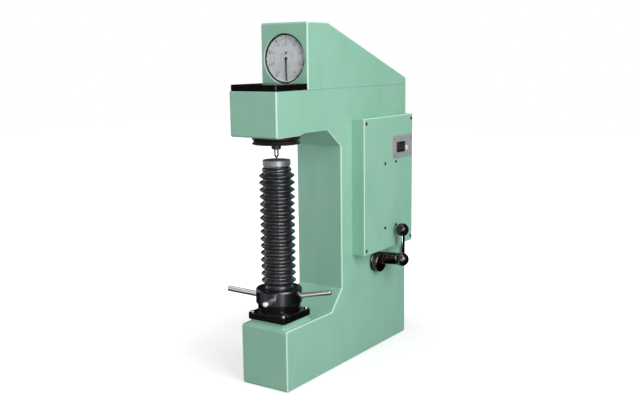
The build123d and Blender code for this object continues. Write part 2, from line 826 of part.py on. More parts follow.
# === bellows ==============================================================================================
bellows_low = hub_top + seat_gap
bellows_start = bellows_low + bellows_foot
bellows_high = screw_top - screw_head - seat_gap
fold_pitch = (bellows_high - bellows_top_fold - bellows_start) / bellows_folds
fold_wall = [
    (bellows_foot_radius, bellows_low),
    (bellows_foot_radius, bellows_low + bellows_foot_ring),
    (bellows_root, bellows_low + 1.5 * bellows_foot_ring),
]
for fold in range(bellows_folds):
    fold_wall.append((bellows_root, bellows_start + fold * fold_pitch))
    fold_wall.append((bellows_crest, bellows_start + (fold + 0.5) * fold_pitch))
fold_wall.append((bellows_root, bellows_high - bellows_top_fold))
fold_wall.append((bellows_top_crest, bellows_high - bellows_top_fold / 2))
fold_wall.append((bellows_root, bellows_high))
fold_wall.append((bellows_bore, bellows_high))
fold_wall.append((bellows_bore, bellows_low))
with BuildPart() as bellows:
    revolve(section(fold_wall, Plane.XZ), axis=Axis.Z)

# === spindle and indenter =================================================================================
tip_height = anvil_top + test_gap
indenter_top = tip_height + indenter_length
spindle_foot = indenter_top + chuck_height
spindle_head = lever_under - lever_gap
ring_foot = arm_underside - ring_height
guide_top = arm_floor + guide_flange
stem_top = gauge_pivot_z - gauge_lever_depth / 2 - seat_gap
with BuildPart() as spindle_ring:
    revolve(
        section(
            [
                (ring_bore, arm_underside),
                (ring_radius, arm_underside),
                (ring_radius, arm_underside - ring_height * 0.3),
                (ring_radius - ring_groove, arm_underside - ring_height * 0.67),
                (ring_radius - 1, ring_foot + ring_height * 0.1),
                (ring_radius - 2.5, ring_foot),
                (ring_bore + 4, ring_foot),
                (ring_bore, ring_foot + 4),
            ],
            Plane.XZ,
        ),
        axis=Axis.Z,
    )

with BuildPart() as spindle_guide:
    revolve(
        section(
            [
                (spindle_radius + fit_gap, arm_underside),
                (guide_radius, arm_underside),
                (guide_radius, arm_floor),
                (guide_flange_radius, arm_floor),
                (guide_flange_radius, guide_top),
                (spindle_radius + fit_gap, guide_top),
            ],
            Plane.XZ,
        ),
        axis=Axis.Z,
    )

with BuildPart() as spindle:
    revolve(
        section(
            [
                (0, spindle_foot),
                (spindle_radius, spindle_foot),
                (spindle_radius, spindle_head),
                (stem_radius, spindle_head),
                (stem_radius, stem_top),
                (0, stem_top),
            ],
            Plane.XZ,
        ),
        axis=Axis.Z,
    )

with BuildPart() as indenter_chuck:
    revolve(
        section(
            [
                (0, indenter_top),
                (chuck_radius - 2.5, indenter_top),
                (chuck_radius, indenter_top + 3),
                (chuck_radius, spindle_foot),
                (0, spindle_foot),
            ],
            Plane.XZ,
        ),
        axis=Axis.Z,
    )

with BuildPart() as indenter:
    revolve(
        section(
            [
                (0, tip_height),
                (indenter_tip_radius, tip_height + 0.3),
                (indenter_radius - 1.5, tip_height + indenter_cone - 3),
                (indenter_radius, tip_height + indenter_cone),
                (indenter_radius, indenter_top),
                (0, indenter_top),
            ],
            Plane.XZ,
        ),
        axis=Axis.Z,
    )

# === lever train ==========================================================================================
lever_end = weight_y + lever_overhang
lever_front = lever_pivot_y - lever_depth / 2
lever_top = lever_under + lever_depth
lever_low = lever_under + lever_step
weight_floor = lever_low - weight_drop
tail_top = lever_low + lever_tail_depth
lever_outline = [
    (lever_front, lever_under),
    (-lever_pivot_y, lever_under),
    (-lever_pivot_y + lever_step_run, lever_low),
    (lever_end, lever_low),
    (lever_end, tail_top),
    (weight_y - 2 * lever_overhang, tail_top),
    (-2 * lever_pivot_y, lever_top),
    (lever_front, lever_top),
]
ear_half = lever_half + fulcrum_side_gap
with BuildPart() as main_lever:
    extrude(section(lever_outline, Plane.YZ), amount=lever_half, both=True)
    fillet(main_lever.edges().filter_by(Axis.X).sort_by(Axis.Y)[:2], lever_depth / 4)
    with BuildSketch(Plane.YZ):
        with Locations((lever_pivot_y, lever_pivot_z)):
            Circle(lever_pin_radius + fit_gap)
    extrude(amount=lever_half, both=True, mode=Mode.SUBTRACT)
    with BuildSketch(level(lever_under)):
        Circle(stem_hole)
        with Locations((0, weight_y)):
            Circle(hanger_radius + hanger_clear)
    extrude(amount=lever_depth, mode=Mode.SUBTRACT)

ear_front = lever_pivot_y - lever_pin_radius - ear_margin
ear_back = gauge_pivot_y + gauge_pin_radius + ear_margin
block_front = casting_wall - arm_front + 2 * fulcrum_side_gap
block_back = -guide_flange_radius - 2 * face_gap
ear_top = gauge_pivot_z + gauge_pin_radius + ear_margin
fulcrum_outline = [
    (block_front, arm_floor),
    (block_back, arm_floor),
    (block_back, arm_floor + fulcrum_foot),
    (ear_back, lever_pivot_z - ear_margin),
    (ear_back, ear_top),
    (ear_front, ear_top),
    (ear_front, lever_pivot_z),
    (block_front, arm_floor + fulcrum_foot),
]
with BuildPart() as fulcrum_block:
    extrude(section(fulcrum_outline, Plane.YZ), amount=ear_half + fulcrum_ear, both=True)
    with BuildSketch(level(arm_floor + fulcrum_foot)):
        with Locations((0, (block_front + ear_back) / 2)):
            Rectangle(2 * ear_half, ear_back - block_front)
    extrude(amount=ear_top, mode=Mode.SUBTRACT)
    with BuildSketch(Plane.YZ):
        with Locations((lever_pivot_y, lever_pivot_z)):
            Circle(lever_pin_radius)
        with Locations((gauge_pivot_y, gauge_pivot_z)):
            Circle(gauge_pin_radius)
    extrude(amount=ear_half + fulcrum_ear, both=True, mode=Mode.SUBTRACT)

with BuildPart() as lever_pins:
    with BuildSketch(Plane.YZ):
        with Locations((lever_pivot_y, lever_pivot_z)):
            Circle(lever_pin_radius)
        with Locations((gauge_pivot_y, gauge_pivot_z)):
            Circle(gauge_pin_radius)
    extrude(amount=ear_half + fulcrum_ear, both=True)

gauge_lever_end = plunger_y + plunger_radius + 2
gauge_over = gauge_pivot_z + gauge_lever_depth / 2
with BuildPart() as gauge_lever:
    with BuildSketch(Plane.YZ):
        with Locations((gauge_pivot_y, gauge_pivot_z)):
            Circle(gauge_lever_hub)
    extrude(amount=ear_half - face_gap, both=True)
    with BuildSketch(Plane.YZ):
        with Locations(((gauge_pivot_y + gauge_lever_end) / 2, gauge_pivot_z)):
            Rectangle(gauge_lever_end - gauge_pivot_y, gauge_lever_depth)
    extrude(amount=gauge_lever_half, both=True)
    with BuildSketch(Plane.YZ):
        with Locations((gauge_pivot_y, gauge_pivot_z)):
            Circle(gauge_pin_radius + fit_gap)
    extrude(amount=ear_half, both=True, mode=Mode.SUBTRACT)

hanger_top = tail_top + hanger_play
with BuildPart() as weight_hanger:
    with BuildSketch(level(weight_floor)):
        with Locations((0, weight_y)):
            Circle(hanger_radius)
    extrude(amount=hanger_top - weight_floor)
    with BuildSketch(level(weight_floor)):
        with Locations((0, weight_y)):
            Circle(hanger_foot_radius)
    extrude(amount=-hanger_foot)
    with BuildSketch(level(hanger_top)):
        with Locations((0, weight_y)):
            RegularPolygon(hanger_nut_radius, 6)
    extrude(amount=hanger_nut)

with BuildPart() as weight_discs:
    for number in range(weight_count):
        with BuildSketch(level(weight_floor + number * weight_thickness)):
            with Locations((0, weight_y)):
                Circle(weight_radius)
                Circle(hanger_radius + fit_gap, mode=Mode.SUBTRACT)
        extrude(amount=weight_thickness - fit_gap)

# --- lift rod and dashpot ---------------------------------------------------------------------------------
lift_foot = handle_z + cam_radius + seat_gap
lift_top = lever_low - seat_gap
dashpot_radius = piston_radius + fit_gap + dashpot_wall
dashpot_floor = handle_z + dashpot_rise
dashpot_top = dashpot_floor + dashpot_height
piston_height = dashpot_floor + piston_rise
with BuildPart() as lift_rod:
    with BuildSketch(level(lift_foot)):
        with Locations((0, handle_y)):
            Circle(rod_guide_radius)
    extrude(amount=lift_top - lift_foot)
    fillet(lift_rod.edges().group_by(Axis.Z)[0], rod_guide_radius * 0.98)
    with BuildSketch(level(piston_height)):
        with Locations((0, handle_y)):
            Circle(piston_radius)
    extrude(amount=piston_thickness)

with BuildPart() as dashpot_cylinder:
    with BuildSketch(level(dashpot_floor)):
        with Locations((0, handle_y)):
            Circle(dashpot_radius)
    extrude(amount=dashpot_height)
    with BuildSketch(level(dashpot_floor + dashpot_wall)):
        with Locations((0, handle_y)):
            Circle(piston_radius + fit_gap)
    extrude(amount=dashpot_height, mode=Mode.SUBTRACT)
    with BuildSketch(level(dashpot_floor)):
        with Locations((0, handle_y)):
            Circle(rod_guide_radius + fit_gap)
    extrude(amount=dashpot_wall, mode=Mode.SUBTRACT)

with BuildPart() as dashpot_lid:
    with BuildSketch(level(dashpot_top)):
        with Locations((0, handle_y)):
            Circle(dashpot_radius)
            Circle(rod_guide_radius + fit_gap, mode=Mode.SUBTRACT)
    extrude(amount=dashpot_cap)

with BuildPart() as dashpot_shelf:
    with BuildSketch(level(dashpot_floor)):
        with Locations((0, handle_y)):
            Rectangle(body_width - 2 * casting_wall, 2 * shelf_reach)
            Circle(rod_guide_radius + hanger_clear, mode=Mode.SUBTRACT)
    extrude(amount=-shelf_thickness)

# === loading handle =======================================================================================
bush_face = half + handle_flange
shaft_back = end_bush / 2 - (half - casting_wall)
handle_section = Plane(origin=(0, handle_y, handle_z), x_dir=(1, 0, 0), z_dir=(0, 0, 1))
handle_axis = Axis((0, handle_y, handle_z), (1, 0, 0))
crank_foot = bush_face + face_gap
with BuildPart() as handle_bush:
    revolve(
        section(
            [
                (half - casting_wall, handle_shaft_radius + fit_gap),
                (half - casting_wall, handle_bush_radius),
                (half, handle_bush_radius),
                (half, handle_flange_radius),
                (bush_face - 2, handle_flange_radius),
                (bush_face, handle_flange_radius - 2),
                (bush_face, handle_shaft_radius + fit_gap),
            ],
            handle_section,
        ),
        axis=handle_axis,
    )

with BuildPart() as shaft_end_bush:
    with BuildSketch(looking_in(casting_wall - half)):
        with Locations((handle_y, handle_z)):
            Circle(end_bush_radius)
    extrude(amount=end_bush)
    with BuildSketch(looking_in(shaft_back - seat_gap)):
        with Locations((handle_y, handle_z)):
            Circle(handle_shaft_radius + fit_gap)
    extrude(amount=end_bush, mode=Mode.SUBTRACT)

with BuildPart() as handle_shaft:
    with BuildSketch(looking_in(shaft_back)):
        with Locations((handle_y, handle_z)):
            Circle(handle_shaft_radius)
    extrude(amount=crank_foot + crank_boss / 2 - shaft_back)

cam_step = (cam_turn + cam_overrun) / cam_steps
cam_path = []
for number in range(cam_steps + 1):
    reach = cam_radius - cam_fall * number * cam_step / cam_turn
    angle = radians(cam_top + number * cam_step)
    cam_path.append((handle_y + reach * cos(angle), handle_z + reach * sin(angle)))
with BuildPart() as load_cam:
    with BuildSketch(looking_in(-cam_half)):
        with BuildLine():
            dwell = CenterArc((handle_y, handle_z), cam_radius, cam_top - cam_dwell, cam_dwell)
            Spline(*cam_path)
            Line(cam_path[-1], (handle_y, handle_z))
            Line((handle_y, handle_z), dwell @ 0)
        make_face()
        with Locations((handle_y, handle_z)):
            Circle(handle_shaft_radius + cam_hub)
            Circle(handle_shaft_radius, mode=Mode.SUBTRACT)
    extrude(amount=2 * cam_half)

crank_ball = (crank_foot + crank_reach, handle_y + crank_offset, handle_z + crank_lift)
crank_root = (crank_foot + crank_start, handle_y + crank_root_offset, handle_z + crank_root_lift)
crank_corner_run = (crank_offset - crank_root_offset) / tan(radians(crank_heading))
crank_corner = (crank_root[0] + crank_corner_run, crank_ball[1], crank_ball[2])
crank_face = crank_foot + crank_boss
with BuildPart() as crank_arm:
    revolve(
        section(
            [
                (crank_foot, 0),
                (crank_foot, crank_boss_radius - crank_neck_step),
                (crank_foot + crank_neck, crank_boss_radius - crank_neck_step),
                (crank_foot + crank_neck, crank_boss_radius),
                (crank_face, crank_boss_radius),
                (crank_face, 0),
            ],
            handle_section,
        ),
        axis=handle_axis,
    )
    fillet(crank_arm.edges().sort_by(Axis.X)[-1], crank_boss_edge)
    with BuildLine() as crank_line:
        FilletPolyline(crank_root, crank_corner, crank_ball, radius=crank_bend)
    with BuildSketch(Plane(origin=crank_root, z_dir=crank_line.line % 0)):
        Circle(crank_radius)
    sweep()
    with Locations(crank_ball):
        Sphere(crank_ball_radius)
    with BuildSketch(looking_in(crank_foot)):
        with Locations((handle_y, handle_z)):
            Circle(handle_shaft_radius)
    extrude(amount=crank_boss / 2, mode=Mode.SUBTRACT)
    rod_foot = crank_ball[2] + crank_ball_radius - handle_rod_engagement
    with BuildSketch(level(rod_foot)):
        with Locations(crank_ball[:2]):
            Circle(handle_rod_radius)
    extrude(amount=crank_ball_radius, mode=Mode.SUBTRACT)

knob_z = crank_ball[2] + knob_height
rod_head = knob_z - knob_radius + handle_rod_engagement
with BuildPart() as handle_rod:
    with BuildSketch(level(rod_foot)):
        with Locations(crank_ball[:2]):
            Circle(handle_rod_radius)
    extrude(amount=rod_head - rod_foot)

with BuildPart() as handle_knob:
    with Locations((crank_ball[0], crank_ball[1], knob_z)):
        Sphere(knob_radius)
    with BuildSketch(level(rod_head)):
        with Locations(crank_ball[:2]):
            Circle(handle_rod_radius)
    extrude(amount=-knob_radius, mode=Mode.SUBTRACT)

# === dial =================================================================================================
dial_section = Plane(origin=(0, 0, dial_z), x_dir=(0, 1, 0), z_dir=(1, 0, 0))
bezel_front = cover_front + bezel_recess
glass_front = bezel_front + bezel_lip_depth
scale_front = cover_front + scale_depth
scale_back = scale_front + scale_thickness
case_front = scale_back + case_shelf_gap
bezel_back = case_front + case_spigot_length - face_gap
with BuildPart() as dial_bezel:
    revolve(
        section(
            [
                (bezel_front, bezel_lip),
                (bezel_front, bezel_radius - 1),
                (bezel_front + 1, bezel_radius),
                (bezel_back, bezel_radius),
                (bezel_back, case_spigot + fit_gap),
                (scale_back, case_spigot + fit_gap),
                (scale_back, glass_radius),
                (glass_front, glass_radius),
                (glass_front, bezel_lip),
            ],
            dial_section,
        ),
        axis=dial_axis,
    )

with BuildPart() as dial_glass:
    with BuildSketch(Plane.XZ.offset(-glass_front)):
        with Locations((0, dial_z)):
            Circle(glass_radius)
    extrude(amount=-glass_thickness)

with BuildPart() as dial_scale:
    with BuildSketch(Plane.XZ.offset(-scale_front)):
        with Locations((0, dial_z)):
            Circle(glass_radius)
            Circle(scale_inner, mode=Mode.SUBTRACT)
    extrude(amount=-scale_thickness)

with BuildPart() as dial_centre_plate:
    with BuildSketch(Plane.XZ.offset(-scale_front)):
        with Locations((0, dial_z)):
            Circle(centre_plate_radius)
            Circle(arbor_radius + fit_gap, mode=Mode.SUBTRACT)
        with Locations((0, dial_z + counter_z)):
            Circle(counter_arbor + fit_gap, mode=Mode.SUBTRACT)
    extrude(amount=-scale_thickness)

case_end = case_front + case_length
with BuildPart() as gauge_case:
    revolve(
        section(
            [
                (scale_back, 0),
                (scale_back, centre_plate_radius - 1),
                (case_front, centre_plate_radius - 1),
                (case_front, case_spigot),
                (case_front + case_spigot_length, case_spigot),
                (case_front + case_spigot_length, case_radius),
                (case_end, case_radius),
                (case_end, case_radius - case_wall),
                (case_front + case_spigot_length + case_wall, case_radius - case_wall),
                (case_front + case_spigot_length + case_wall, case_spigot - 2 * case_wall),
                (case_front + case_wall, case_spigot - 2 * case_wall),
                (case_front + case_wall, 0),
            ],
            dial_section,
        ),
        axis=dial_axis,
    )
    stem_foot = dial_z - case_radius - plunger_stem
    with BuildSketch(level(stem_foot)):
        with Locations((0, plunger_y)):
            Circle(plunger_stem_radius)
    extrude(amount=plunger_stem + 2 * case_wall)
    with BuildSketch(level(stem_foot)):
        with Locations((0, plunger_y)):
            Circle(plunger_radius + fit_gap)
    extrude(amount=plunger_stem + 2 * case_wall, mode=Mode.SUBTRACT)
    with BuildSketch(Plane.XZ.offset(-scale_back)):
        with Locations((0, dial_z)):
            Circle(arbor_radius + fit_gap)
        with Locations((0, dial_z + counter_z)):
            Circle(counter_arbor + fit_gap)
    extrude(amount=-2 * case_spigot_length, mode=Mode.SUBTRACT)

with BuildPart() as gauge_bracket:
    with BuildSketch(Plane.XZ.offset(-case_end)):
        with Locations((0, dial_z)):
            Circle(case_radius)
        with Locations((0, (casting_height + dial_z) / 2)):
            Rectangle(gauge_leg_width, dial_z - casting_height)
    extrude(amount=-gauge_plate)
    with BuildSketch(level(casting_height)):
        with Locations((0, case_end + gauge_foot_depth / 2)):
            Rectangle(body_width - 2 * cover_wall - 2, gauge_foot_depth)
    extrude(amount=gauge_foot_height)

# --- pointers ---------------------------------------------------------------------------------------------
blade_back = scale_front - pointer_lift
arbor_back = case_front + case_wall
with BuildPart() as main_pointer:
    with BuildSketch(Plane.XZ.offset(-blade_back)):
        with BuildLine():
            Polyline(
                (-pointer_point, dial_z - pointer_radius),
                (pointer_point, dial_z - pointer_radius),
                (pointer_neck, dial_z - pointer_radius * 0.75),
                (pointer_half, dial_z),
                (pointer_neck, dial_z + pointer_tail),
                (-pointer_neck, dial_z + pointer_tail),
                (-pointer_half, dial_z),
                (-pointer_neck, dial_z - pointer_radius * 0.75),
                close=True,
            )
        make_face()
        with Locations((0, dial_z)):
            Circle(pointer_hub)
    extrude(amount=pointer_thickness)
    with BuildSketch(Plane.XZ.offset(-blade_back)):
        with Locations((0, dial_z)):
            Circle(pointer_hub)
    extrude(amount=-pointer_lift / 3)
    with BuildSketch(Plane.XZ.offset(-blade_back)):
        with Locations((0, dial_z)):
            Circle(arbor_radius)
    extrude(amount=blade_back - arbor_back)

counter_back = scale_front - seat_gap
counter_aim = (cos(radians(counter_heading)), 0, sin(radians(counter_heading)))
counter_plane = Plane(origin=(0, counter_back, dial_z + counter_z), x_dir=counter_aim, z_dir=(0, -1, 0))
with BuildPart() as counter_pointer:
    with BuildSketch(counter_plane):
        with BuildLine():
            Polyline(
                (-counter_tail, counter_half),
                (-counter_tail, -counter_half),
                (counter_radius, -counter_tip),
                (counter_radius, counter_tip),
                close=True,
            )
        make_face()
        Circle(counter_hub)
    extrude(amount=counter_thickness)
    with BuildSketch(counter_plane):
        Circle(counter_arbor)
    extrude(amount=counter_back - arbor_back)

with BuildPart() as gauge_plunger:
    with BuildSketch(level(gauge_over + seat_gap)):
        with Locations((0, plunger_y)):
            Circle(plunger_radius)
    extrude(amount=dial_z - case_radius + case_wall - gauge_over)

# === fasteners ============================================================================================
panel_screw_length = box_wall + box_rail
panel_screw_body = round_head_screw(panel_screw_head, panel_screw_rise, panel_screw_shank, panel_screw_length)
seat_screw_body = round_head_screw(seat_screw_head, seat_screw_rise, seat_screw_shank, seat_screw_depth)
plate_screw_body = round_head_screw(plate_screw_head, plate_screw_rise, plate_screw_shank, plate_thickness)
door_screw_body = round_head_screw(door_screw_head, door_screw_rise, plate_screw_shank, door_screw_depth)
outward_x = (0, 90, 0)
outward_y = (-90, 0, 0)

with BuildPart() as side_box_screws:
    with Locations(*[Location((box_face, y, z), outward_x) for y, z in panel_screw_places]):
        add(panel_screw_body)

plate_screw_places = [
    (y, z)
    for y in (plate_front + plate_screw_inset, plate_back - plate_screw_inset)
    for z in (plate_bottom + plate_screw_inset, plate_top - plate_screw_inset)
]
with BuildPart() as switch_plate_screws:
    with Locations(*[Location((plate_face, y, z), outward_x) for y, z in plate_screw_places]):
        add(plate_screw_body)

with BuildPart() as seat_screws:
    with Locations(level(seat_top)):
        with GridLocations(2 * seat_screw_place, 2 * seat_screw_place, 2, 2):
            add(seat_screw_body)

door_face = body_back + rear_cover_thickness
with BuildPart() as rear_cover_screws:
    with Locations(*[Location((x, door_face, z), outward_y) for x, z in door_screw_places]):
        add(door_screw_body)

# === export ===============================================================================================
pieces = {
    "frame_casting": frame_casting,
    "front_cap_plate": front_cap_plate,
    "upper_cover": upper_cover,
    "rear_cover": rear_cover,
    "rear_cover_screws": rear_cover_screws,
    "side_box_frame": side_box_frame,
    "side_box_panel": side_box_panel,
    "side_box_screws": side_box_screws,
    "lamp_transformer": lamp_transformer,
    "switch_plate": switch_plate,
    "switch_plate_screws": switch_plate_screws,
    "switch_body": switch_body,
    "rocker": rocker,
    "pilot_lamp": pilot_lamp,
    "screw_seat_flange": screw_seat_flange,
    "seat_screws": seat_screws,
    "guide_key": guide_key,
    "thrust_lower_race": thrust_lower_race,
    "thrust_balls": thrust_balls,
    "thrust_upper_race": thrust_upper_race,
    "handwheel_hub": handwheel_hub,
    "lift_nut": lift_nut,
    "elevating_screw": elevating_screw,
    "anvil": anvil,
    "bellows": bellows,
    "spindle_ring": spindle_ring,
    "spindle_guide": spindle_guide,
    "spindle": spindle,
    "indenter_chuck": indenter_chuck,
    "indenter": indenter,
    "main_lever": main_lever,
    "fulcrum_block": fulcrum_block,
    "lever_pins": lever_pins,
    "gauge_lever": gauge_lever,
    "weight_hanger": weight_hanger,
    "weight_discs": weight_discs,
    "lift_rod": lift_rod,
    "dashpot_cylinder": dashpot_cylinder,
    "dashpot_lid": dashpot_lid,
    "dashpot_shelf": dashpot_shelf,
    "handle_bush": handle_bush,
    "shaft_end_bush": shaft_end_bush,
    "handle_shaft": handle_shaft,
    "load_cam": load_cam,
    "crank_arm": crank_arm,
    "handle_rod": handle_rod,
    "handle_knob": handle_knob,
    "dial_bezel": dial_bezel,
    "dial_glass": dial_glass,
    "dial_scale": dial_scale,
    "dial_centre_plate": dial_centre_plate,
    "gauge_case": gauge_case,
    "gauge_bracket": gauge_bracket,
    "main_pointer": main_pointer,
    "counter_pointer": counter_pointer,
    "gauge_plunger": gauge_plunger,
}
for number, rod in enumerate(capstan_rods, start=1):
    pieces[f"capstan_rod_{number}"] = rod

os.makedirs("parts", exist_ok=True)
for name, piece in pieces.items():
    piece.part.label = name
    export_step(piece.part, f"parts/{name}.step")
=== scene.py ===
import json
import random
from math import cos, pi, radians, sin

import bmesh
import bpy
from mathutils import Matrix, Vector


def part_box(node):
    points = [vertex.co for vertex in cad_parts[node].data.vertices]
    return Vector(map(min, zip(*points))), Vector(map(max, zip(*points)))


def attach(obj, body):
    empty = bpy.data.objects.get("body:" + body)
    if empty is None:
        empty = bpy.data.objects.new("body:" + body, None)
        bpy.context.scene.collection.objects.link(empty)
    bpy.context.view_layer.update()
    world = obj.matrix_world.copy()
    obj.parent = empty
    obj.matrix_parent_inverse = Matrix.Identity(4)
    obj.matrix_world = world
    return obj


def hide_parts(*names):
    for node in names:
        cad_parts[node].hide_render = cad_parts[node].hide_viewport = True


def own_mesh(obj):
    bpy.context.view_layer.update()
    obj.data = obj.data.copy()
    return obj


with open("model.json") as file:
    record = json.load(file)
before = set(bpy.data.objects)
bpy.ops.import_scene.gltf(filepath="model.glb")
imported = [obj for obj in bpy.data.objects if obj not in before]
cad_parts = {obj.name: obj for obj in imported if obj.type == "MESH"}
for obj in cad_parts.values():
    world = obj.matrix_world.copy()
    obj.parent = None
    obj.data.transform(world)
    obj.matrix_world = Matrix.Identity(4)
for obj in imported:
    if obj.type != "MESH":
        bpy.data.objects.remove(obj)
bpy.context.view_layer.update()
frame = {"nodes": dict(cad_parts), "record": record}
nodes = frame["nodes"]
mergeWithin = 1e-6
print("frame loaded:", len(nodes), "nodes")


class Wire:  # a socket whose operators add Math nodes
    def __init__(self, paint, socket):
        self.paint = paint
        self.socket = socket

    def maths(self, operation, *values):
        return self.paint.add("ShaderNodeMath", {"operation": operation}, dict(enumerate(values)))

    def __add__(self, other):
        return self.maths("ADD", self, other)

    def __sub__(self, other):
        return self.maths("SUBTRACT", self, other)

    def __rsub__(self, other):
        return self.maths("SUBTRACT", other, self)

    def __mul__(self, other):
        return self.maths("MULTIPLY", self, other)

    def __truediv__(self, other):
        return self.maths("DIVIDE", self, other)

    def __pow__(self, other):
        return self.maths("POWER", self, other)

    __radd__ = __add__
    __rmul__ = __mul__

    def limit(self):
        return self.paint.add("ShaderNodeClamp", {}, {0: self})

    def size(self):
        return self.maths("ABSOLUTE", self)

    def step(self, low, high):  # 0 below low, 1 above high, smooth between
        settings = {"interpolation_type": "SMOOTHSTEP"}
        return self.paint.add("ShaderNodeMapRange", settings, {0: self, 1: low, 2: high})


class Finish:  # one material and the nodes behind its shader
    def __init__(self, name, **constants):
        self.material = bpy.data.materials.new(name)
        self.material.use_nodes = True
        self.tree = self.material.node_tree
        self.shader = self.tree.nodes["Principled BSDF"]
        for key, value in constants.items():
            self.feed(self.shader.inputs[key.replace("_", " ")], value)

    def feed(self, socket, value):
        if isinstance(value, Wire):
            self.tree.links.new(value.socket, socket)
        else:
            socket.default_value = value

    def add(self, kind, settings, values, outlet=0):
        node = self.tree.nodes.new(kind)
        for key, value in settings.items():
            if key == "stops":
                self.rampStops(node.color_ramp, value)
            else:
                setattr(node, key, value)
        for key, value in values.items():
            self.feed(node.inputs[key], value)
        return Wire(self, node.outputs[outlet])

    def rampStops(self, ramp, stops):
        for place, level in stops[2:]:
            ramp.elements.new(place)
        for element, (place, level) in zip(ramp.elements, stops):
            element.position = place
            element.color = (level, level, level, 1)

    def place(self, scale):
        here = self.add("ShaderNodeTexCoord", {}, {}, 3)
        return self.add("ShaderNodeMapping", {}, {"Vector": here, "Scale": scale})

    def noise(self, size, detail=3.0, stretch=(1, 1, 1)):
        values = {"Vector": self.place(stretch), "Scale": 1 / size, "Detail": detail, "Roughness": 0.55}
        return self.add("ShaderNodeTexNoise", {}, values)

    def ramp(self, wire, stops):
        return self.add("ShaderNodeValToRGB", {"stops": stops}, {0: wire})

    def mix(self, factor, first, second):
        return self.add("ShaderNodeMix", {"data_type": "RGBA"}, {0: factor, 6: first, 7: second}, 2)

    def axes(self):
        here = self.add("ShaderNodeTexCoord", {}, {}, 3)
        return [self.add("ShaderNodeSeparateXYZ", {}, {0: here}, index) for index in range(3)]

    def facing(self, axis):  # the normal's share along an axis
        normal = self.add("ShaderNodeNewGeometry", {}, {}, 1)
        return self.add("ShaderNodeSeparateXYZ", {}, {0: normal}, axis)

    def edges(self, radius, gain=6):  # 1 on sharp edges, 0 on flats
        rounded = self.add("ShaderNodeBevel", {"samples": 4}, {"Radius": radius})
        true = self.add("ShaderNodeNewGeometry", {}, {}, 1)
        agree = self.add("ShaderNodeVectorMath", {"operation": "DOT_PRODUCT"}, {0: rounded, 1: true}, 1)
        return ((1 - agree) * gain).limit()

    def bump(self, height, distance, strength=1.0, softEdge=0.0):
        values = {"Strength": strength, "Distance": distance, "Height": height}
        if softEdge:
            values["Normal"] = self.add("ShaderNodeBevel", {"samples": 4}, {"Radius": softEdge})
        self.wear(Normal=self.add("ShaderNodeBump", {}, values))

    def wear(self, **links):
        for key, value in links.items():
            self.feed(self.shader.inputs[key.replace("_", " ")], value)


def grey(level):
    return (level, level, level, 1)


def mintPaint():
    look = {
        "colour": (0.292, 0.578, 0.430, 1),
        "faded": (0.325, 0.605, 0.465, 1),
        "dusty": (0.235, 0.49, 0.352, 1),
        "edge": (0.60, 0.84, 0.72, 1),
        "rounding": (0.12, 0.4, 0.86, 0.985),
        "edgeRadius": 0.0016,
        "padRise": (0.1703, 0.171),
        "padTop": (0.185, 0.19),
        "padBack": (0.075, 0.085),
        "seam": 0.8028,
        "seamHalf": 0.0012,
        "seamShade": (0.03, 0.055, 0.042, 1),
        "mottle": 0.16,
        "grain": 0.0016,
    }
    paint = Finish("mintPaint", Coat_Weight=0.12, Coat_Roughness=0.25, IOR=1.4)
    patches = paint.ramp(paint.noise(look["mottle"], 2), [(0.35, 0), (0.7, 1)])
    colour = paint.mix(patches, look["colour"], look["faded"])
    smears = paint.ramp(paint.noise(look["mottle"] * 0.4, 5, (1, 1, 0.35)), [(0.52, 0), (0.8, 0.4)])
    colour = paint.mix(smears, colour, look["dusty"])
    side = paint.facing(0).size()
    begin, full, fade, end = look["rounding"]
    rounding = side.step(begin, full) * (1 - side.step(fade, end))  # painted highlight on the rounded edges beside the flat sides
    x, y, z = paint.axes()
    pad = z.step(*look["padRise"]) * (1 - z.step(*look["padTop"])) * (1 - y.step(*look["padBack"]))
    # painted highlight: rounded and sharp edges are mixed towards a lighter mint, except on the seat pad
    wearAndHighlight = (rounding + paint.edges(look["edgeRadius"]) * 0.6) * (1 - pad)
    colour = paint.mix(wearAndHighlight.limit(), colour, look["edge"])
    # painted shade: a dark band at the height of the cover's joint
    seam = 1 - (z - look["seam"]).size().step(look["seamHalf"] * 0.6, look["seamHalf"])
    paintedJointShade = seam * side.step(0.5, 0.9)  # painted shade in the joint under the cover, on the side faces
    colour = paint.mix(paintedJointShade, colour, look["seamShade"])
    peel = paint.noise(look["grain"], 1.5)
    paint.wear(Base_Color=colour, Roughness=0.40 + 0.14 * paint.noise(0.05, 4))
    paint.bump(peel, 0.00012, 0.35, 0.0014)
    return paint.material


def blackEnamel():
    look = {
        "colour": (0.0035, 0.0032, 0.0034, 1),
        "wearAndHighlight": (0.016, 0.015, 0.015, 1),
        "edge": (0.2, 0.19, 0.2, 1),
        "edgeRadius": 0.0009,
        "grain": 0.0011,
    }
    paint = Finish("blackEnamel", IOR=1.45)
    patches = paint.ramp(paint.noise(0.03, 5), [(0.5, 0), (0.85, 0.5)])
    colour = paint.mix(patches, look["colour"], look["wearAndHighlight"])
    # painted highlight: edges are mixed towards a lighter grey
    colour = paint.mix(paint.edges(look["edgeRadius"]) * 0.5, colour, look["edge"])
    paint.wear(Base_Color=colour, Roughness=0.17 + 0.14 * paint.noise(0.02, 4))
    paint.bump(paint.noise(look["grain"], 1.5), 0.00006, 0.25, 0.001)
    return paint.material


